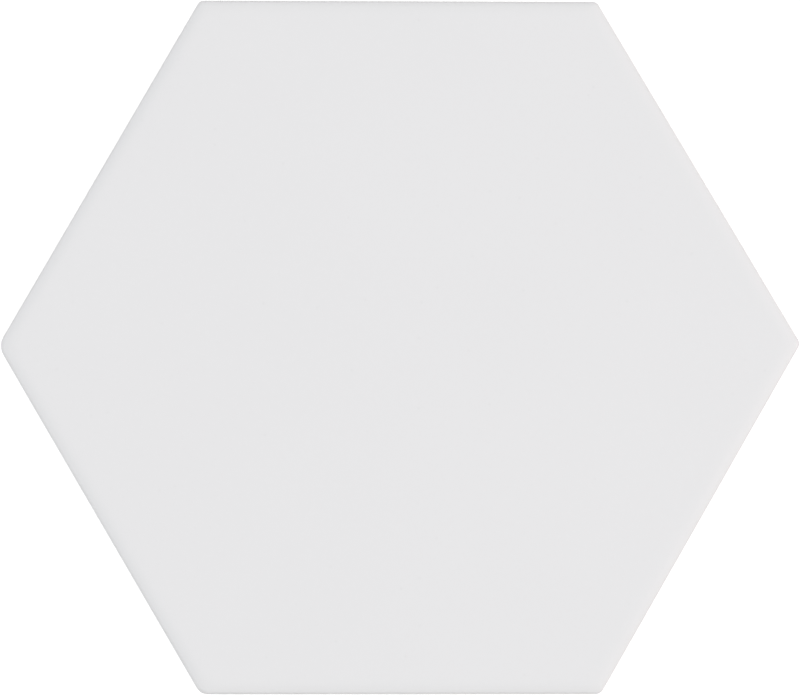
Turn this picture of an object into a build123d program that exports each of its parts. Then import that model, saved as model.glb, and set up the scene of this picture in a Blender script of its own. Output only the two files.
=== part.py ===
from build123d import *
import math
import os

# A small hexagonal porcelain wall and floor tile, dry-pressed and fired as one piece.
# It lies on its back with the glazed face up: +Z is out of the face, X runs from corner
# to corner and Y across the flats. The origin is the centre of the back's bedding plane.
# All sizes are in millimetres.

# Outline, where the pillowed edge and the sides would meet without the rounded arris
across_flats = 101.0
corner_radius = 1.4

# Section, from the face down to the back
thickness = 9.0
pillow_width = 2.8
pillow_drop = 0.57
pillow_corner_radius = 3.4
pillow_steps = 6
arris_radius = 0.8
side_draft = 1.5
back_bevel = 0.9

# Key of the back: a raised pad with a honeycomb of shallow pockets that grip the adhesive
key_depth = 0.7
key_draft = 30.0
pad_margin = 4.6
pad_corner_radius = 2.8
pocket_rings = 3
pocket_pitch = 13.8
pocket_corner_radius = 1.0
rib_width = 2.0

arris_height = thickness - pillow_drop
side_inset = (arris_height - key_depth) * math.tan(math.radians(side_draft))
pad_inset = side_inset + back_bevel + pad_margin


def outline(height, inset, radius):
    """The tile's outline at a height, taken in by inset, with corners of that radius."""
    with BuildSketch(Plane.XY.offset(height)) as section:
        RegularPolygon(across_flats / 2 - inset, 6, major_radius=False)
        fillet(section.vertices(), radius)
    return section.sketch


def pillow_section(share):
    """The outline at a share of the way in over the pillowed edge, which is a cubic curve."""
    height = thickness - pillow_drop * (1 - share) ** 3
    softening = (pillow_corner_radius - corner_radius) * share
    return outline(height, pillow_width * share, corner_radius + softening)


def pocket_centres():
    """Centres of a honeycomb of pocket_rings rings round one middle pocket."""
    centres = []
    for row in range(-pocket_rings, pocket_rings + 1):
        first = max(-pocket_rings, -pocket_rings - row)
        last = min(pocket_rings, pocket_rings - row)
        for place in range(first, last + 1):
            across = pocket_pitch * (place + row / 2)
            up = pocket_pitch * row * math.sin(math.radians(60))
            centres.append((across, up))
    return centres


# One pocket of the back, narrower at its floor than at its mouth
with BuildPart() as pocket:
    with BuildSketch(Plane.XY) as mouth:
        RegularPolygon((pocket_pitch - rib_width) / 2, 6, major_radius=False, rotation=30)
        fillet(mouth.vertices(), pocket_corner_radius)
    extrude(amount=key_depth)
    draft(pocket.faces().filter_by(Axis.Z, reverse=True), Plane.XY, key_draft)

# Raised pad of the back, with its sides drawn in downwards and the pockets through it
with BuildPart() as key_pad:
    add(outline(0, pad_inset, pad_corner_radius))
    extrude(amount=key_depth)
    pad_walls = key_pad.faces().filter_by(Axis.Z, reverse=True)
    draft(pad_walls, Plane.XY.offset(key_depth), -key_draft)
    with Locations(*pocket_centres()):
        add(pocket.part, mode=Mode.SUBTRACT)

with BuildPart() as hexagonal_tile:
    # Body, with side walls drawn in slightly towards the back so that it leaves its mould
    add(outline(key_depth, 0, corner_radius))
    extrude(amount=arris_height - key_depth)
    side_walls = hexagonal_tile.faces().filter_by(Axis.Z, reverse=True)
    draft(side_walls, Plane.XY.offset(arris_height), -side_draft)
    back_rim = hexagonal_tile.faces().sort_by(Axis.Z)[0].edges()
    chamfer(back_rim, back_bevel)

    # Pillowed edge of the face: sections taken up the curve, with ever softer corners
    loft([pillow_section(step / pillow_steps) for step in range(pillow_steps + 1)])

    # Rounded arris all round, between the pillowed edge and the side walls
    arris = hexagonal_tile.edges().filter_by_position(Axis.Z, arris_height, arris_height)
    fillet(arris, arris_radius)

    add(key_pad.part)

hexagonal_tile.part.label = "hexagonal_tile"
os.makedirs("parts", exist_ok=True)
export_step(hexagonal_tile.part, "parts/hexagonal_tile.step")
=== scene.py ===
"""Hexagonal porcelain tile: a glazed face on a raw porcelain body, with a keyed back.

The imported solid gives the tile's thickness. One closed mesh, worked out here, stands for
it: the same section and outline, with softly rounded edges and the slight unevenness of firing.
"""
import math

import bmesh
import bpy
import numpy as np
from bpy.props import FloatProperty, FloatVectorProperty, IntProperty, PointerProperty
from bpy.types import Operator, Panel, PropertyGroup
from mathutils import Euler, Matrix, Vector


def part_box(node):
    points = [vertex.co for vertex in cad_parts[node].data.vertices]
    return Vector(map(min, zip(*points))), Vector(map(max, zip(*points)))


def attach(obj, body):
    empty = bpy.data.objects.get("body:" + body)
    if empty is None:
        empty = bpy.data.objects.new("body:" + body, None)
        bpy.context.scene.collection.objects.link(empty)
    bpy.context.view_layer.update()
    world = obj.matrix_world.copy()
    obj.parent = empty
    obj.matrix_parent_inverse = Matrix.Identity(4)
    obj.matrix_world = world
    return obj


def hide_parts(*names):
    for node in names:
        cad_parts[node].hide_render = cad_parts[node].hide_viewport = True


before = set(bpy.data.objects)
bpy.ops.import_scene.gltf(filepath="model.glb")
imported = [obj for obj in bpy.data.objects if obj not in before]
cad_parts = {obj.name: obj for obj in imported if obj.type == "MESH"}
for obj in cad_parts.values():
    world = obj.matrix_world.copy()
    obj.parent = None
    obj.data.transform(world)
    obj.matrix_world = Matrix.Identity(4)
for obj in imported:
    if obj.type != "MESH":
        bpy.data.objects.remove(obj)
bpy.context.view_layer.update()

bl_info = {
    "name": "Hexagonal porcelain tile",
    "version": (1, 0, 0),
    "blender": (4, 5, 0),
    "location": "3D View > Sidebar > Tile",
    "description": "Makes and lights one pressed and glazed hexagonal tile",
    "category": "Object",
}

TILE_NODE = "hexagonal_tile"
TILE_LOW, TILE_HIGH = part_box(TILE_NODE)
MM = 0.001

# A hexagon's reach to its corners, over its reach to its sides
HEXAGON_SPREAD = 1 / math.cos(math.radians(30))

# Steps of the tile's mesh: down its section, and round its outline and its pockets
ROLL_ROWS = 16
ROUNDING_STEPS = 8
ROW_SPACING = 1.0 * MM
STRIP_ROWS = 4
POCKET_ROUNDING_STEPS = 4
CORNER_STEPS = 3
CELL_EDGE_STEPS = 10
POCKET_CORNER_STEPS = 2

# Flat bands of the mesh beside its bends, which keep the shading of the flats even
FACE_BAND = 0.5 * MM
FOOT_BAND = 0.2 * MM
RIB_BAND = 0.4 * MM
FLOOR_BAND = 0.5 * MM

# Smallest radius of an outline's corner, and the gap across which points are welded
SHARPEST_CORNER = 0.15 * MM
WELD_GAP = 0.002 * MM

# Roundings of the pad's foot and of the pockets' floors, in pressed edge radii
PAD_FOOT_WEAR = 0.5
POCKET_FLOOR_WEAR = 1.4

# Waves that firing leaves in the tile: how many for each axis, how long, and from which draw
WAVE_COUNT = 24
WAVE_LENGTHS = (25 * MM, 80 * MM)
WAVE_SEED = 11

# Share of its full brightness that the body falls to between its grains
BODY_SHADE = 0.93

# Half width of the floor and the lines of its grid
FLOOR_REACH = 3.0
FLOOR_LINES = 9

# Place and diameter of each lamp, in metres
LAMPS = {
    "overhead": ((0, 0, 1.0), 2.0),
    "right": ((1.0, -0.05, 0.27), 0.5),
    "left": ((-1.0, 0.05, 0.27), 0.5),
}


# Sizes and colours that a user would change

def length(name, description, default):
    """A size in metres."""
    return FloatProperty(name=name, description=description, default=default, min=0.0,
                         unit="LENGTH", precision=5)


def angle(name, description, degrees):
    """An angle, written in degrees here and kept in radians."""
    return FloatProperty(name=name, description=description, default=math.radians(degrees),
                         subtype="ANGLE")


def power(name, description, default):
    """The power of a lamp in watts."""
    return FloatProperty(name=name, description=description, default=default, min=0.0,
                         unit="POWER", precision=3)


def number(name, description, default):
    """A plain number."""
    return FloatProperty(name=name, description=description, default=default, min=0.0, precision=3)


def colour(name, description, default):
    """A linear colour."""
    return FloatVectorProperty(name=name, description=description, default=default, size=3,
                               min=0.0, max=1.0, subtype="COLOR")


class TileShape(PropertyGroup):
    """Sizes of the pressed and fired tile."""
    across_flats: length("Across flats", "Width over two opposite sides", 101.0 * MM)
    thickness: length("Thickness", "From the ribs of the back to the face",
                      TILE_HIGH.z - TILE_LOW.z)
    corner_radii: FloatVectorProperty(
        name="Corner radii", description="Of the six corners, anticlockwise from the one on +X",
        default=(1.0 * MM, 0.95 * MM, 1.1 * MM, 2.6 * MM, 1.8 * MM, 1.3 * MM),
        size=6, min=0.0, unit="LENGTH", precision=5)
    corner_shifts: FloatVectorProperty(
        name="Corner shifts", description="x and y by which firing moved each of those corners",
        default=[MM * value for value in (0.11, 0.11, -0.11, -0.21, 0.02, 0.12,
                                          -0.13, 0.07, 0.26, 0.01, -0.15, -0.09)],
        size=12, unit="LENGTH", precision=5)
    pillow_width: length("Pillow width", "Band in which the face rolls down to its edge", 2.8 * MM)
    pillow_drop: length("Pillow drop", "How far the face rolls down before its arris", 0.57 * MM)
    pillow_softening: length("Pillow softening", "How much rounder the corners are on the face",
                             2.0 * MM)
    arris_width: length("Arris width", "Part of the band that the rounded arris takes", 0.5 * MM)
    side_draft: angle("Side draft", "Lean of the sides inwards to the back", 1.5)
    back_bevel: length("Back bevel", "Bevel round the back", 0.9 * MM)
    key_depth: length("Key depth", "Height of the ribs over the margin and the pockets", 0.7 * MM)
    key_draft: angle("Key draft", "Lean of the walls of the pad and the pockets", 30.0)
    pad_margin: length("Pad margin", "Plain margin between the bevel and the pad", 4.6 * MM)
    pad_corner: length("Pad corner radius", "Corners of the raised pad", 2.8 * MM)
    pocket_rings: IntProperty(name="Pocket rings", default=3, min=1, max=6,
                              description="Rings of pockets round the middle one")
    pocket_pitch: length("Pocket pitch", "From one pocket to the next", 13.8 * MM)
    pocket_corner: length("Pocket corner radius", "Corners of a pocket's mouth", 1.0 * MM)
    rib_width: length("Rib width", "Width of the ribs between the pockets", 2.0 * MM)
    edge_wear: length("Pressed edge radius", "Small roundings left by the press", 0.25 * MM)
    warp: length("Warp", "How far the fired face and back stray from flat", 0.02 * MM)
    waver: length("Waver", "How far the fired sides stray from straight", 0.006 * MM)


class TileFinish(PropertyGroup):
    """Colours and textures of the glaze and the body, where the glaze ends, and where it thins out
    and darkens as painted edge shade.
    """
    glaze: colour("Glaze", "Matt white glaze of the face", (0.807, 0.803, 0.813))
    # Glaze over the arris and down the sides, darkened to a neutral grey: partly thinner glaze,
    # partly painted shade along the edge
    thin_glaze_and_edge_shade: colour("Thin glaze", "Glaze over the arris and down the sides",
                       (0.788, 0.784, 0.794))
    pinhole: colour("Pinhole", "Tiny specks in the glaze", (0.36, 0.35, 0.34))
    body: colour("Body", "Raw fired porcelain", (0.74, 0.715, 0.67))
    grit: colour("Grit", "Rusty specks in the body", (0.42, 0.36, 0.29))
    wash: colour("Kiln wash", "Chalky wash on the ribs of the back", (0.80, 0.79, 0.765))
    glaze_roughness: number("Glaze roughness", "How matt the glaze is", 0.56)
    body_roughness: number("Body roughness", "How matt the raw body is", 0.9)
    drift: number("Drift", "How far the glaze's tone drifts over the face", 0.008)
    mottle: number("Mottle", "How far the glaze's tone changes from grain to grain", 0.006)
    pinhole_strength: number("Pinhole strength", "How much the pinholes show", 0.06)
    grit_strength: number("Grit strength", "How much the grit shows", 0.35)
    peel_depth: length("Orange peel", "Depth of the glaze's faint relief", 0.004 * MM)
    grain_depth: length("Grain", "Depth of the body's relief", 0.03 * MM)
    bead_depth: length("Bead", "Step at the line where the glaze ends", 0.08 * MM)
    wash_line: length("Wash line", "Height over the back at which the wash ends", 0.12 * MM)
    glaze_line: length("Glaze line", "Height over the back at which the glaze ends", 7.2 * MM)
    # Below this height the glaze is thin and darker, which paints shade along the arris and down
    # the sides
    thin_glaze_and_shade_line: length("Thick glaze line", "Height below which the glaze is thin", 8.62 * MM)


class StageLook(PropertyGroup):
    """The floor, the lamps, the pale room round them and the camera."""
    floor: colour("Floor", "Colour of the floor", (0.84, 0.84, 0.84))
    floor_glow: number("Floor glow", "How brightly the floor glows to the camera", 0.5)
    room: colour("Room", "Colour of the light from all sides", (1, 0.992, 0.92))
    room_strength: number("Room strength", "Brightness of the light from all sides", 0.34)
    overhead_tint: colour("Overhead tint", "Colour of the large soft lamp above", (0.937, 0.962, 1))
    overhead_power: power("Overhead power", "Power of the large soft lamp above", 11.0)
    right_tint: colour("Right tint", "Colour of the low lamp on the right", (1, 0.86, 0.84))
    right_power: power("Right power", "Power of the low lamp on the right", 3.05)
    left_tint: colour("Left tint", "Colour of the low lamp on the left", (0.93, 0.89, 1))
    left_power: power("Left power", "Power of the low lamp on the left", 0.93)
    camera_distance: length("Camera distance", "From the aim to the lens", 323.17 * MM)
    camera_tilt: angle("Camera tilt", "Lean of the view towards the lower side", 2.35)
    camera_roll: angle("Camera roll", "Turn of the picture", -0.134)
    camera_aim: FloatVectorProperty(
        name="Camera aim", description="Point in the middle of the picture",
        default=(0.1 * MM, -0.347 * MM, 8.4 * MM), size=3, unit="LENGTH", precision=5)


# Arrays of points

def direction(degrees):
    """Unit vectors in the plane at the given angles from +X."""
    radians = np.radians(degrees)
    return np.stack([np.cos(radians), np.sin(radians)], axis=-1)


def along_sides(side, part):
    """Points a part of the way along the given sides of a hexagon with a corner on +X.

    Its apothem is 1, and side 0 starts at that corner: start * (1 - part) + end * part.
    """
    start, end = direction(60.0 * side), direction(60.0 * side + 60.0)
    return HEXAGON_SPREAD * (start * (1 - part[:, None]) + end * part[:, None])


def hexagon_columns(arc_steps, stops):
    """Columns round a hexagon with a corner on +X, for outlines with rounded corners.

    Each column has a point C on the sharp hexagon of apothem 1 and an outward unit direction D.
    The outline of apothem a and corner radius r is (a - r) * C + r * D, the smaller hexagon
    grown by r: D turns through 60 degrees while C waits at a corner, then C moves along the
    side, by the given stops from 0 to 1, while D waits. Also returned are C's side and its share
    of the way along that side.
    """
    along = np.concatenate([np.zeros(arc_steps), stops, np.ones(arc_steps - 1)])
    turn = np.concatenate([np.linspace(0, 30, arc_steps, endpoint=False),
                           np.full(len(stops), 30.0),
                           np.linspace(30, 60, arc_steps, endpoint=False)[1:]])
    side, along = (part.ravel() for part in np.meshgrid(np.arange(6), along, indexing="ij"))
    outward = direction(60.0 * side + np.tile(turn, 6))
    return along_sides(side, along), outward, side, along


def rounded_section(points, radii, steps):
    """A section line through points (inset, height, softening), rounded at each inner point.

    Where the line turns by an angle t, an arc of radius r starts r * tan(t / 2) before the
    point: start + r * (sin(s t) * incoming + (1 - cos(s t)) * side), for s from 0 to 1, where
    side is square to the incoming direction, towards the turn. Softening is interpolated.
    """
    points, radii = np.asarray(points, float), np.asarray(radii, float)[:, None]
    run = np.diff(points, axis=0)
    size = np.linalg.norm(run[:, :2], axis=1, keepdims=True)
    run = run / size
    incoming, outgoing = run[:-1, :2], run[1:, :2]
    cross = incoming[:, 0] * outgoing[:, 1] - incoming[:, 1] * outgoing[:, 0]
    turn = np.arctan2(cross, (incoming * outgoing).sum(1))[:, None]
    side = np.stack([-incoming[:, 1], incoming[:, 0]], axis=1) * np.sign(turn)
    setback = radii * np.tan(np.abs(turn) / 2)
    start, end = points[1:-1] - run[:-1] * setback, points[1:-1] + run[1:] * setback
    sweep = np.linspace(0, 1, steps + 1)[None, :, None]
    swept = np.abs(turn)[:, :, None] * sweep
    arcs = start[:, None, :2] + radii[:, :, None] * (
        np.sin(swept) * incoming[:, None] + (1 - np.cos(swept)) * side[:, None])
    soft = start[:, None, 2:] * (1 - sweep) + end[:, None, 2:] * sweep
    line = np.concatenate([arcs, soft], axis=2).reshape(-1, 3)
    return np.concatenate([points[:1], line, points[-1:]])


def with_rows(line, spacing):
    """A section line with rows added where two are further apart than spacing.

    Each gap is cut into the fewest equal parts that are no longer than that.
    """
    gaps = np.linalg.norm(np.diff(line[:, :2], axis=0), axis=1)
    rounding_error = 1e-6
    counts = np.maximum(1, np.ceil(gaps / spacing - rounding_error)).astype(int)
    first = np.repeat(np.cumsum(counts) - counts, counts)
    part = ((np.arange(counts.sum()) - first) / np.repeat(counts, counts))[:, None]
    start, end = np.repeat(line[:-1], counts, axis=0), np.repeat(line[1:], counts, axis=0)
    return np.concatenate([start * (1 - part) + end * part, line[-1:]])


def swept_outline(line, apothem, radii, columns):
    """The grid of a section line carried round the outline: one row per point of the line.

    A point (inset, height, softening) of the line gives the outline of apothem - inset, with
    corners of their own radii + softening, at that height.
    """
    sharp, outward, side, along = columns
    radii = np.asarray(radii, float)
    corner = radii[side] * (1 - along) + radii[(side + 1) % 6] * along
    corner = np.maximum(corner[None, :] + line[:, 2:], SHARPEST_CORNER)
    inner = apothem - line[:, :1] - corner
    flat = inner[..., None] * sharp + corner[..., None] * outward
    height = np.broadcast_to(line[:, 1:2, None], flat.shape[:2] + (1,))
    return np.concatenate([flat, height], axis=2)


def coons_filling(ring, steps):
    """Three Coons patches that fill a ring of 6 * steps points, each from the middle M.

    A patch lies between two spokes from M, to corners two apart, and the two sides between
    those corners. At (s, t) it is the sum of the two blends of opposite edges, less the
    bilinear blend of its four corners. All patches share the mean spacing of the ring's points,
    so that their spokes meet. Batches of rings are filled at once.
    """
    middle = ring.mean(axis=-2)[..., None, None, :]
    index = np.arange(steps + 1)
    corner = 2 * np.arange(3)[:, None] * steps
    one = ring[..., (corner + index) % (6 * steps), :]
    other = ring[..., (corner + 2 * steps - index) % (6 * steps), :]
    reach = np.linalg.norm(one - one[..., :1, :], axis=-1, keepdims=True)
    spacing = (reach / reach[..., -1:, :]).mean(axis=-3, keepdims=True)
    s, t = spacing[..., :, None, :], spacing[..., None, :, :]
    near, far = one[..., None, :1, :], other[..., :1, None, :]
    middle = middle[..., None, :]
    tip = one[..., -1:, :][..., None, :]
    spoke_s = middle * (1 - s) + near * s
    spoke_t = middle * (1 - t) + far * t
    across = (1 - s) * spoke_t + s * one[..., None, :, :]
    along = (1 - t) * spoke_s + t * other[..., :, None, :]
    bilinear = (1 - s) * (1 - t) * middle + s * (1 - t) * near + (1 - s) * t * far + s * t * tip
    return across + along - bilinear


def grid_faces(rows, columns, closed):
    """Corner numbers of the quads of a grid, whose last column meets its first if closed."""
    row = np.arange(rows - 1)[:, None]
    column = np.arange(columns if closed else columns - 1)[None, :]
    after = (column + 1) % columns
    corners = [row * columns + column, (row + 1) * columns + column,
               (row + 1) * columns + after, row * columns + after]
    return np.stack(corners, axis=-1).reshape(-1, 4)


def grid_patch(grids, closed, inside_out=False):
    """Points and quads of a batch of grids. A grid's rows and columns are its last two axes."""
    rows, columns = grids.shape[-3:-1]
    batch = grids.reshape(-1, rows * columns, 3)
    faces = grid_faces(rows, columns, closed)
    if inside_out:
        faces = faces[:, ::-1]
    numbers = faces[None] + (np.arange(len(batch)) * rows * columns)[:, None, None]
    return batch.reshape(-1, 3), numbers.reshape(-1, 4)


def joined(patches):
    """One array of points and one of faces, from several patches."""
    counts = np.cumsum([0] + [len(points) for points, faces in patches])
    points = np.concatenate([points for points, faces in patches])
    faces = np.concatenate([faces + first for (_, faces), first in zip(patches, counts)])
    return points, faces


def slow_waves(points, count, lengths, seed):
    """An uneven field: for each axis, a sum of sine waves of many lengths and directions.

    Each wave is sin(k . p + phase), where k has a random heading and a length of 2 pi over the
    wavelength, which lies between the two lengths. The sum is divided by the root of the count.
    """
    draw = np.random.default_rng(seed)
    heading = draw.normal(size=(3, count, 3))
    heading /= np.linalg.norm(heading, axis=2, keepdims=True)
    turns = 2 * math.pi / draw.uniform(*lengths, size=(3, count, 1))
    phase = draw.uniform(0, 2 * math.pi, size=(3, count))
    waves = np.sin(np.einsum("pa,xwa->pxw", points, heading * turns) + phase)
    return waves.sum(axis=2) / math.sqrt(count)


# The tile's mesh

def edge_roll(shape, rows):
    """The pillowed edge, from the flat of the face outwards, and its slope where it ends.

    Its height falls by drop * (1 - x / width) ** 3 at x in from the sides, so it leaves the flat
    with no slope and no bend. It ends where the arris begins. Its corners soften inwards.
    """
    share_in = np.linspace(1, shape.arris_width / shape.pillow_width, rows)
    fall = shape.pillow_drop * (1 - share_in) ** 3
    points = np.stack([shape.pillow_width * share_in, shape.thickness - fall,
                       shape.pillow_softening * share_in], axis=1)
    return points, 3 * shape.pillow_drop / shape.pillow_width * (1 - share_in[-1]) ** 2


def tile_section(shape):
    """Section of the tile, from the flat of the face, over the edge, to the flat of the pad.

    The roll's last slope and the line of the side meet in a point, which the arris rounds: two
    lines that meet at an angle turn touch an arc of radius r at r / tan(turn / 2) from there.
    """
    roll, slope = edge_roll(shape, ROLL_ROWS)
    draft = math.tan(shape.side_draft)
    arris = roll[-1, 1] - slope * shape.arris_width
    turn = math.pi / 2 + shape.side_draft - math.atan(slope)
    arris_radius = shape.arris_width / math.cos(math.atan(slope)) / math.tan(turn / 2)
    side_top = shape.thickness - shape.pillow_drop
    side_inset = (side_top - shape.key_depth) * draft
    bevel_inset = (side_top - shape.key_depth - shape.back_bevel) * draft
    rim_inset = side_inset + shape.back_bevel
    pad_inset = rim_inset + shape.pad_margin
    foot_inset = pad_inset + shape.key_depth * math.tan(shape.key_draft)
    pad_softening = shape.pad_corner - min(shape.corner_radii)
    points = [
        roll[-1],
        ((side_top - arris) * draft, arris, 0),
        (bevel_inset, shape.key_depth + shape.back_bevel, -bevel_inset),
        (rim_inset, shape.key_depth, -rim_inset),
        (pad_inset, shape.key_depth, pad_softening),
        (foot_inset, 0, pad_softening),
        (foot_inset + FOOT_BAND, 0, pad_softening),
    ]
    radii = [arris_radius] + 3 * [shape.edge_wear] + [PAD_FOOT_WEAR * shape.edge_wear]
    edge = rounded_section(points, radii, ROUNDING_STEPS)
    flat = roll[:1] + [[FACE_BAND, 0, 0]]
    return with_rows(np.concatenate([flat, roll[:-1], edge]), ROW_SPACING)


def honeycomb_centres(rings, pitch):
    """Centres of the cells within so many rings: all sums of two lattice steps not too far out."""
    a, b = np.mgrid[-rings:rings + 1, -rings:rings + 1]
    inside = np.abs(a + b) <= rings
    a, b = a[inside], b[inside]
    return pitch * np.stack([a + b / 2, b * math.sin(math.radians(60)), 0 * a], axis=1)


def honeycomb_rim(rings, pitch, edge_steps):
    """Points round the zigzag rim of the honeycomb, from the middle of its edge on +X.

    A sixth of the rim is a run of half edges at 90, then pairs at 150 and 90, then one at 150
    degrees. The points are the running sum of equal steps, turned by 60 degrees five times.
    """
    headings = np.array([90.0] + [150.0, 150.0, 90.0, 90.0] * rings + [150.0])
    step = pitch / math.sqrt(3) / edge_steps
    steps = step * direction(np.repeat(headings, edge_steps // 2))
    sixth = np.concatenate([np.zeros((1, 2)), np.cumsum(steps, axis=0)[:-1]])
    sixth += [(rings + 0.5) * pitch, 0]
    cosine, sine = direction(60.0 * np.arange(6)).T[..., None]
    x = sixth[:, 0] * cosine - sixth[:, 1] * sine
    y = sixth[:, 0] * sine + sixth[:, 1] * cosine
    return np.stack([x, y, 0 * x], axis=-1).reshape(-1, 3)


def pocket_section(shape):
    """Section of a pocket, from the flat of its ribs, down the wall, to the flat of its floor."""
    half_rib = shape.rib_width / 2
    foot = half_rib + shape.key_depth * math.tan(shape.key_draft)
    shrink = half_rib - foot
    points = [(half_rib - RIB_BAND, 0, 0), (half_rib, 0, 0), (foot, shape.key_depth, shrink),
              (foot + FLOOR_BAND, shape.key_depth, shrink)]
    radii = [shape.edge_wear, POCKET_FLOOR_WEAR * shape.edge_wear]
    return rounded_section(points, radii, POCKET_ROUNDING_STEPS)


def cell_rim(pitch, edge_steps):
    """Points in even steps round a cell of the honeycomb, a sharp hexagon with a corner on +X."""
    part = np.tile(np.arange(edge_steps) / edge_steps, 6)
    rim = pitch / 2 * along_sides(np.repeat(np.arange(6), edge_steps), part)
    return np.concatenate([rim, np.zeros((len(rim), 1))], axis=1)


def pocket_patches(shape, edge_steps):
    """The honeycomb: each cell's rib top, the walls of its pocket, and the pocket's floor.

    One cell is worked out with a corner on +X, turned by 90 degrees, so that a side is on +X,
    and copied to every centre.
    """
    stops = np.linspace(0, 1, edge_steps - 2 * POCKET_CORNER_STEPS + 1)
    columns = hexagon_columns(POCKET_CORNER_STEPS, stops)
    walls = swept_outline(pocket_section(shape), shape.pocket_pitch / 2,
                          [shape.pocket_corner] * 6, columns)
    cell = np.concatenate([cell_rim(shape.pocket_pitch, edge_steps)[None], walls])
    turned = np.stack([-cell[..., 1], cell[..., 0], cell[..., 2]], axis=-1)
    centres = honeycomb_centres(shape.pocket_rings, shape.pocket_pitch)
    cells = turned[None] + centres[:, None, None, :]
    floors = coons_filling(cells[:, -1], edge_steps)
    return [grid_patch(cells, True), grid_patch(floors, False, inside_out=True)]


def shell_columns(shape, line, arc_steps, edge_steps):
    """Columns of the shell, in step with the honeycomb's rim, so that the strip has no folds.

    Along a side, the rim's outermost points stand a pitch apart and lie evenly about the side's
    middle, so the first is (side - rings * pitch) / 2 from the corner. The stops between the
    first and the last of them are even, and the few that are left lead on to the corners.
    """
    pitch = shape.pocket_pitch
    radius = sum(shape.corner_radii) / 6 + line[-1, 2]
    side = HEXAGON_SPREAD * (shape.across_flats / 2 - line[-1, 0])
    first_tip = (side - shape.pocket_rings * pitch) / 2
    setback = radius * math.tan(math.radians(30))
    tip = (first_tip - setback) / (side - 2 * setback)
    corner_steps = edge_steps // 2 - arc_steps
    stops = [np.linspace(0, tip, corner_steps, endpoint=False),
             np.linspace(tip, 1 - tip, 2 * shape.pocket_rings * edge_steps + 1),
             np.linspace(1, 1 - tip, corner_steps, endpoint=False)[::-1]]
    return hexagon_columns(arc_steps, np.concatenate(stops))


def tile_patches(shape):
    """Every patch of the tile: face, edge and sides, plain strip round the key, and honeycomb."""
    per_side = (2 * shape.pocket_rings + 1) * CELL_EDGE_STEPS
    line = tile_section(shape)
    columns = shell_columns(shape, line, CORNER_STEPS, CELL_EDGE_STEPS)
    shell = swept_outline(line, shape.across_flats / 2, shape.corner_radii, columns)
    face = coons_filling(shell[0], per_side)
    rim = honeycomb_rim(shape.pocket_rings, shape.pocket_pitch, CELL_EDGE_STEPS)
    part = np.linspace(0, 1, STRIP_ROWS)[:, None, None]
    strip = shell[-1] * (1 - part) + rim * part
    patches = [grid_patch(face, False), grid_patch(shell, True), grid_patch(strip, True)]
    return patches + pocket_patches(shape, CELL_EDGE_STEPS)


def with_moved_corners(points, reach, shifts):
    """Points moved along with the outline's corners, each of which moves by its shift.

    A point lies in the triangle between the middle and two corners, a * C1 + b * C2. It takes
    the shares a and b of the shifts of those two corners.
    """
    sector = np.floor(np.degrees(np.arctan2(points[:, 1], points[:, 0])) / 60).astype(int)
    one, two = direction(60.0 * sector), direction(60.0 * sector + 60.0)
    whole = reach * (one[:, 0] * two[:, 1] - one[:, 1] * two[:, 0])
    a = (points[:, 0] * two[:, 1] - points[:, 1] * two[:, 0]) / whole
    b = (one[:, 0] * points[:, 1] - one[:, 1] * points[:, 0]) / whole
    shifts = np.reshape(shifts, (6, 2))
    moved = points.copy()
    moved[:, :2] += a[:, None] * shifts[sector % 6] + b[:, None] * shifts[(sector + 1) % 6]
    return moved


def closed_mesh(name, points, faces):
    """A smooth mesh of quads with the seams between its patches welded."""
    mesh = bpy.data.meshes.new(name)
    mesh.vertices.add(len(points))
    mesh.vertices.foreach_set("co", points.astype(np.float32).ravel())
    mesh.loops.add(faces.size)
    mesh.loops.foreach_set("vertex_index", faces.astype(np.int32).ravel())
    mesh.polygons.add(len(faces))
    mesh.polygons.foreach_set("loop_start", np.arange(0, faces.size, 4, dtype=np.int32))
    mesh.update(calc_edges=True)
    work = bmesh.new()
    work.from_mesh(mesh)
    bmesh.ops.remove_doubles(work, verts=work.verts, dist=WELD_GAP)
    work.to_mesh(mesh)
    work.free()
    mesh.shade_smooth()
    return mesh


# Materials

class Nodes:
    """Adds nodes to a tree, left to right, and links them by socket names or numbers."""

    SPACING = 220

    # A Mix node's two inputs and its output, by number, for each type of value that it can mix
    MIX_SOCKETS = {"VECTOR": (4, 5, 1), "RGBA": (6, 7, 2)}

    def __init__(self, tree):
        self.tree = tree
        self.count = 0

    def add(self, kind, settings=None, **inputs):
        """A node with its settings, and each input given as a value or as an output socket."""
        node = self.tree.nodes.new(kind)
        node.location = (self.SPACING * self.count, 0)
        self.count += 1
        for key, value in (settings or {}).items():
            setattr(node, key, value)
        for key, value in inputs.items():
            self.feed(node, key.replace("_", " "), value)
        return node

    def feed(self, node, socket, value):
        """Sets or links one input, named or numbered. A colour is given without its alpha."""
        target = node.inputs[socket]
        if isinstance(value, bpy.types.NodeSocket):
            self.tree.links.new(value, target)
        elif target.type == "RGBA":
            target.default_value = (*value, 1)
        else:
            target.default_value = value

    def join(self, kind, *values, **settings):
        """The first output of a node whose inputs are given in their order."""
        node = self.add(kind, settings)
        for place, value in enumerate(values):
            self.feed(node, place, value)
        return node.outputs[0]

    def math(self, operation, *values, clamp=False):
        """The output of a Math node."""
        return self.join("ShaderNodeMath", *values, operation=operation, use_clamp=clamp)

    def mix(self, kind, factor, first, second, **settings):
        """The output of a Mix node: first where the factor is 0, second where it is 1."""
        one, other, output = self.MIX_SOCKETS[kind]
        node = self.add("ShaderNodeMix", {"data_type": kind, **settings})
        for place, value in ((0, factor), (one, first), (other, second)):
            self.feed(node, place, value)
        return node.outputs[output]

    def blend(self, factor, first, second, mode="MIX"):
        """A mix of two colours."""
        return self.mix("RGBA", factor, first, second, blend_type=mode)


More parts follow.
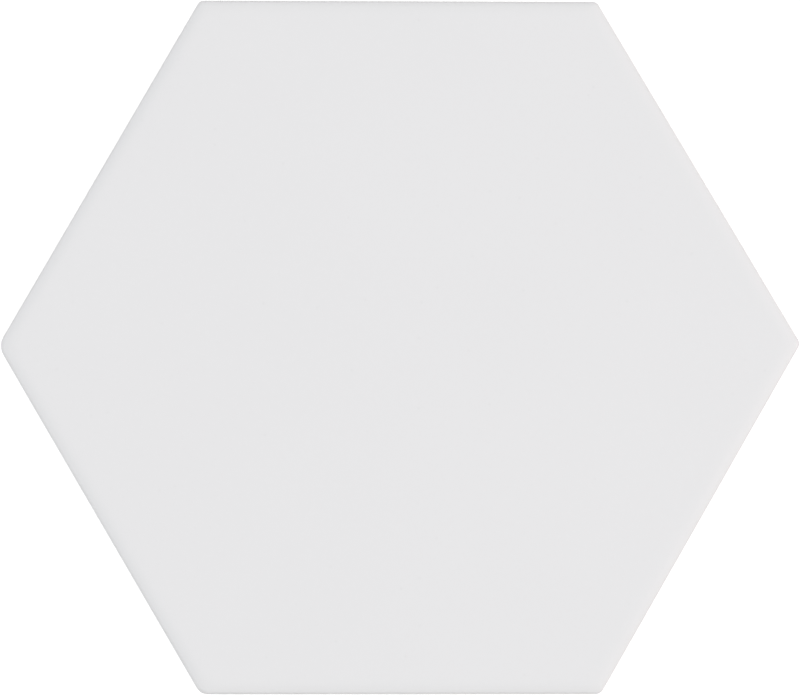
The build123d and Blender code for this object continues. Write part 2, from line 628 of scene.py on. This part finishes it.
def new_group(name, inputs, outputs):
    """An empty shader node group, with its maker, its input sockets and its output node."""
    tree = bpy.data.node_groups.new(name, "ShaderNodeTree")
    for label, kind, default in inputs:
        socket = tree.interface.new_socket(label, in_out="INPUT", socket_type=kind)
        if default is not None:
            socket.default_value = default
    for label, kind in outputs:
        tree.interface.new_socket(label, in_out="OUTPUT", socket_type=kind)
    nodes = Nodes(tree)
    source = nodes.add("NodeGroupInput")
    sink = tree.nodes.new("NodeGroupOutput")
    return tree, nodes, source.outputs, sink


FLOAT, VECTOR = "NodeSocketFloat", "NodeSocketVector"


def wavy_level_group():
    """1 above a height that wanders, 0 below it, with a soft step: for the glaze line."""
    tree, nodes, given, sink = new_group("wavy_level", [
        ("Position", VECTOR, None), ("Level", FLOAT, 0.0), ("Wander", FLOAT, 0.001),
        ("Wander scale", FLOAT, 100.0), ("Softness", FLOAT, 0.0001)], [("Above", FLOAT)])
    height = nodes.add("ShaderNodeSeparateXYZ", Vector=given["Position"]).outputs["Z"]
    noise = nodes.add("ShaderNodeTexNoise", Vector=given["Position"], Scale=given["Wander scale"],
                      Detail=3.0, Roughness=0.55).outputs["Fac"]
    stray = nodes.math("MULTIPLY", nodes.math("SUBTRACT", noise, 0.5), given["Wander"])
    over = nodes.math("SUBTRACT", nodes.math("SUBTRACT", height, given["Level"]), stray)
    step = nodes.math("ADD", nodes.math("DIVIDE", over, given["Softness"]), 0.5, clamp=True)
    tree.links.new(step, sink.inputs["Above"])
    return tree


def speck_group():
    """Small round specks, 1 in the middle, each in its own cell and only in some cells."""
    tree, nodes, given, sink = new_group("specks", [
        ("Position", VECTOR, None), ("Spacing scale", FLOAT, 300.0), ("Size", FLOAT, 0.1),
        ("Share", FLOAT, 0.1)], [("Speck", FLOAT)])
    cell = nodes.add("ShaderNodeTexVoronoi", {"feature": "F1"}, Vector=given["Position"],
                     Scale=given["Spacing scale"])
    chance = nodes.add("ShaderNodeSeparateColor", Color=cell.outputs["Color"]).outputs["Red"]
    chosen = nodes.math("LESS_THAN", chance, given["Share"])
    dot = nodes.math("SUBTRACT", 1.0, nodes.math("DIVIDE", cell.outputs["Distance"], given["Size"]),
                     clamp=True)
    tree.links.new(nodes.math("MULTIPLY", dot, chosen), sink.inputs["Speck"])
    return tree


class Porcelain(Nodes):
    """Nodes of the porcelain, which all work at one place on the tile."""

    def __init__(self, tree):
        super().__init__(tree)
        self.place = self.add("ShaderNodeTexCoord").outputs["Object"]
        self.level = wavy_level_group()
        self.specks = speck_group()

    def above(self, height, wander, scale, softness):
        """1 above a height that wanders, 0 below it."""
        return self.add("ShaderNodeGroup", {"node_tree": self.level}, Position=self.place,
                        Level=height, Wander=wander, Wander_scale=scale,
                        Softness=softness).outputs[0]

    def speckled(self, ground, speck, amount, **sizes):
        """A colour with specks of another one, which cover it by the given amount."""
        dots = self.add("ShaderNodeGroup", {"node_tree": self.specks}, Position=self.place,
                        **sizes).outputs[0]
        return self.blend(self.math("MULTIPLY", dots, amount), ground, speck)

    def noise(self, scale, detail, roughness=0.5):
        """Soft noise between 0 and 1, with so many cells to the metre."""
        return self.add("ShaderNodeTexNoise", Vector=self.place, Scale=scale, Detail=detail,
                        Roughness=roughness).outputs["Fac"]

    def spread(self, value, low, high):
        """A value from 0 to 1, moved to the range from low to high."""
        return self.add("ShaderNodeMapRange", Value=value, To_Min=low, To_Max=high).outputs[0]

    def bump(self, height, depth, **normal):
        """The normal of a fine relief of that depth."""
        return self.add("ShaderNodeBump", Height=height, Distance=depth, Strength=1.0,
                        **normal).outputs[0]


def glaze_colour(nodes, finish):
    """White glaze, thinner and darker over the arris as painted edge shade, with a slow drift, a
    fine mottle and pinholes.
    """
    # 1 above the line, 0 below it, where the darker thin glaze paints shade over the arris and down
    # the sides
    thick_unshaded_glaze = nodes.above(finish.thin_glaze_and_shade_line, wander=0.1 * MM, scale=200.0, softness=0.25 * MM)
    glaze = nodes.blend(thick_unshaded_glaze, finish.thin_glaze_and_edge_shade, finish.glaze)
    drift = nodes.spread(nodes.noise(scale=45.0, detail=3.0), 1 - finish.drift, 1 + finish.drift)
    mottle = nodes.spread(nodes.noise(scale=1400.0, detail=2.0),
                          1 - finish.mottle, 1 + finish.mottle)
    tone = nodes.math("MULTIPLY", drift, mottle)
    tone = nodes.add("ShaderNodeCombineColor", Red=tone, Green=tone, Blue=tone).outputs[0]
    glaze = nodes.blend(1.0, glaze, tone, "MULTIPLY")
    return nodes.speckled(glaze, finish.pinhole, finish.pinhole_strength,
                          Spacing_scale=400.0, Size=0.13, Share=0.35)


def body_colour(nodes, finish):
    """Raw porcelain with a pressed grain and rusty grit, and a chalky wash on the ribs."""
    grains = nodes.noise(scale=420.0, detail=4.0, roughness=0.65)
    body = nodes.blend(grains, [BODY_SHADE * part for part in finish.body], finish.body)
    body = nodes.speckled(body, finish.grit, finish.grit_strength,
                          Spacing_scale=900.0, Size=0.16, Share=0.12)
    bare = nodes.above(finish.wash_line, wander=0.5 * MM, scale=260.0, softness=0.2 * MM)
    return nodes.blend(bare, finish.wash, body)


def porcelain_relief(nodes, finish, glazed):
    """Normals of a faint orange peel in the glaze, of its bead, and of the body's grain."""
    peel = nodes.bump(nodes.noise(scale=900.0, detail=2.0), finish.peel_depth)
    grain = nodes.bump(nodes.noise(scale=2600.0, detail=5.0, roughness=0.6), finish.grain_depth)
    relief = nodes.mix("VECTOR", glazed, grain, peel)
    return nodes.bump(glazed, finish.bead_depth, Normal=relief)


def porcelain_material(finish):
    """Matt white glaze down to a wavy line on the sides, and raw body below it."""
    material = bpy.data.materials.new("matt_glazed_porcelain")
    material.use_nodes = True
    material.node_tree.nodes.clear()
    nodes = Porcelain(material.node_tree)
    glazed = nodes.above(finish.glaze_line, wander=1.6 * MM, scale=140.0, softness=0.12 * MM)
    base = nodes.blend(glazed, body_colour(nodes, finish), glaze_colour(nodes, finish))
    roughness = nodes.spread(glazed, finish.body_roughness, finish.glaze_roughness)
    shader = nodes.add("ShaderNodeBsdfPrincipled", Base_Color=base, Roughness=roughness, IOR=1.5,
                       Normal=porcelain_relief(nodes, finish, glazed))
    nodes.add("ShaderNodeOutputMaterial", Surface=shader.outputs[0])
    return material


def seen_directly(nodes):
    """1 for rays of the camera, of gloss and through glass, 0 for rays that carry light."""
    path = nodes.add("ShaderNodeLightPath").outputs
    seen = nodes.math("MAXIMUM", path["Is Camera Ray"], path["Is Glossy Ray"])
    return nodes.math("MAXIMUM", seen, path["Is Transmission Ray"])


def floor_material(look):
    """A pale floor that the camera and reflections see as white, by the light it gives off."""
    material = bpy.data.materials.new("white_studio_floor")
    material.use_nodes = True
    material.node_tree.nodes.clear()
    nodes = Nodes(material.node_tree)
    matt = nodes.add("ShaderNodeBsdfDiffuse", Color=look.floor).outputs[0]
    glow = nodes.add("ShaderNodeEmission", Color=(1, 1, 1), Strength=look.floor_glow).outputs[0]
    both = nodes.join("ShaderNodeAddShader", matt, glow)
    mixed = nodes.join("ShaderNodeMixShader", seen_directly(nodes), matt, both)
    nodes.add("ShaderNodeOutputMaterial", Surface=mixed)
    return material


# Operators

class TILE_OT_make_tile(Operator):
    """Makes the glazed tile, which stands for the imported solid"""
    bl_idname = "tile.make_tile"
    bl_label = "Make the tile"
    bl_options = {"REGISTER", "UNDO"}

    def execute(self, context):
        """Builds the mesh, lets firing move it slightly, and hands it over as the tile."""
        shape = context.scene.tile_shape
        points, faces = joined(tile_patches(shape))
        corner_reach = HEXAGON_SPREAD * shape.across_flats / 2
        points = with_moved_corners(points, corner_reach, shape.corner_shifts)
        stray = np.array([shape.waver, shape.waver, shape.warp])
        points = points + stray * slow_waves(points, WAVE_COUNT, WAVE_LENGTHS, WAVE_SEED)
        points[:, 2] -= points[:, 2].min()
        mesh = closed_mesh("glazed_tile", points, faces)
        tile = bpy.data.objects.new("glazed_tile", mesh)
        context.scene.collection.objects.link(tile)
        mesh.materials.append(porcelain_material(context.scene.tile_finish))
        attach(tile, "root")
        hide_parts(TILE_NODE)
        return {"FINISHED"}


class TILE_OT_make_stage(Operator):
    """Makes the floor, the pale room, the lamps and the camera"""
    bl_idname = "tile.make_stage"
    bl_label = "Make the stage"
    bl_options = {"REGISTER", "UNDO"}

    def execute(self, context):
        """Adds everything round the tile, from the stage's settings."""
        look = context.scene.tile_stage
        self.add_floor(context, look)
        self.add_room(context, look)
        for name, (place, size) in LAMPS.items():
            tint, power = getattr(look, name + "_tint"), getattr(look, name + "_power")
            self.add_lamp(context, name + "_lamp", place, size, tint, power)
        self.add_camera(context, look)
        context.scene.view_settings.view_transform = "Standard"
        return {"FINISHED"}

    def add_floor(self, context, look):
        """A square floor under the tile, far wider than the picture."""
        line = np.linspace(-FLOOR_REACH, FLOOR_REACH, FLOOR_LINES)
        x, y = np.meshgrid(line, line, indexing="ij")
        points, faces = grid_patch(np.stack([x, y, 0 * x], axis=-1), False)
        floor = bpy.data.objects.new("floor", closed_mesh("floor", points, faces))
        context.scene.collection.objects.link(floor)
        floor.data.materials.append(floor_material(look))

    def add_room(self, context, look):
        """A pale room, which lights evenly and is seen as white."""
        world = bpy.data.worlds.new("pale_room")
        context.scene.world = world
        world.use_nodes = True
        world.node_tree.nodes.clear()
        nodes = Nodes(world.node_tree)
        light = nodes.add("ShaderNodeBackground", Color=look.room,
                          Strength=look.room_strength).outputs[0]
        white = nodes.add("ShaderNodeBackground", Color=(1, 1, 1), Strength=1.0).outputs[0]
        mixed = nodes.join("ShaderNodeMixShader", seen_directly(nodes), light, white)
        nodes.add("ShaderNodeOutputWorld", Surface=mixed)

    def add_lamp(self, context, name, place, size, tint, power):
        """A round lamp that faces the tile."""
        light = bpy.data.lights.new(name, "AREA")
        light.shape = "DISK"
        light.size = size
        light.color = tint
        light.energy = power
        lamp = bpy.data.objects.new(name, light)
        lamp.location = place
        lamp.rotation_euler = Vector(place).to_track_quat("Z", "Y").to_euler()
        lamp.visible_camera = False
        context.scene.collection.objects.link(lamp)

    def add_camera(self, context, look):
        """A camera over the tile, leaned by its tilt and turned by its roll about its aim."""
        data = bpy.data.cameras.new("camera")
        data.lens = 100.0
        data.sensor_width = 36.0
        data.clip_start = 0.01
        data.clip_end = 20.0
        camera = bpy.data.objects.new("camera", data)
        tilt = Euler((look.camera_tilt, 0, 0)).to_matrix()
        roll = Euler((0, 0, look.camera_roll)).to_matrix()
        camera.rotation_euler = (tilt @ roll).to_euler()
        camera.location = Vector(look.camera_aim) + tilt @ Vector((0, 0, look.camera_distance))
        context.scene.collection.objects.link(camera)
        context.scene.camera = camera


class TILE_PT_panel(Panel):
    """Sizes and colours of the tile, with the buttons that make it"""
    bl_idname = "TILE_PT_panel"
    bl_label = "Porcelain tile"
    bl_space_type = "VIEW_3D"
    bl_region_type = "UI"
    bl_category = "Tile"

    def draw(self, context):
        """One box for the tile and one for the stage, each with its settings and its button."""
        scene = context.scene
        for operator, settings in ((TILE_OT_make_tile, (scene.tile_shape, scene.tile_finish)),
                                   (TILE_OT_make_stage, (scene.tile_stage,))):
            box = self.layout.box()
            for group in settings:
                for key in group.bl_rna.properties.keys():
                    if key not in ("rna_type", "name"):
                        box.prop(group, key)
            box.operator(operator.bl_idname)


CLASSES = (TileShape, TileFinish, StageLook, TILE_OT_make_tile, TILE_OT_make_stage, TILE_PT_panel)


def register():
    """Adds the classes, and the settings on every scene."""
    for item in CLASSES:
        bpy.utils.register_class(item)
    bpy.types.Scene.tile_shape = PointerProperty(type=TileShape)
    bpy.types.Scene.tile_finish = PointerProperty(type=TileFinish)
    bpy.types.Scene.tile_stage = PointerProperty(type=StageLook)


def unregister():
    """Takes away all that register adds."""
    del bpy.types.Scene.tile_stage
    del bpy.types.Scene.tile_finish
    del bpy.types.Scene.tile_shape
    for item in reversed(CLASSES):
        bpy.utils.unregister_class(item)


def main():
    """Makes the tile and the stage."""
    register()
    bpy.ops.tile.make_tile()
    bpy.ops.tile.make_stage()


if __name__ == "__main__":
    main()
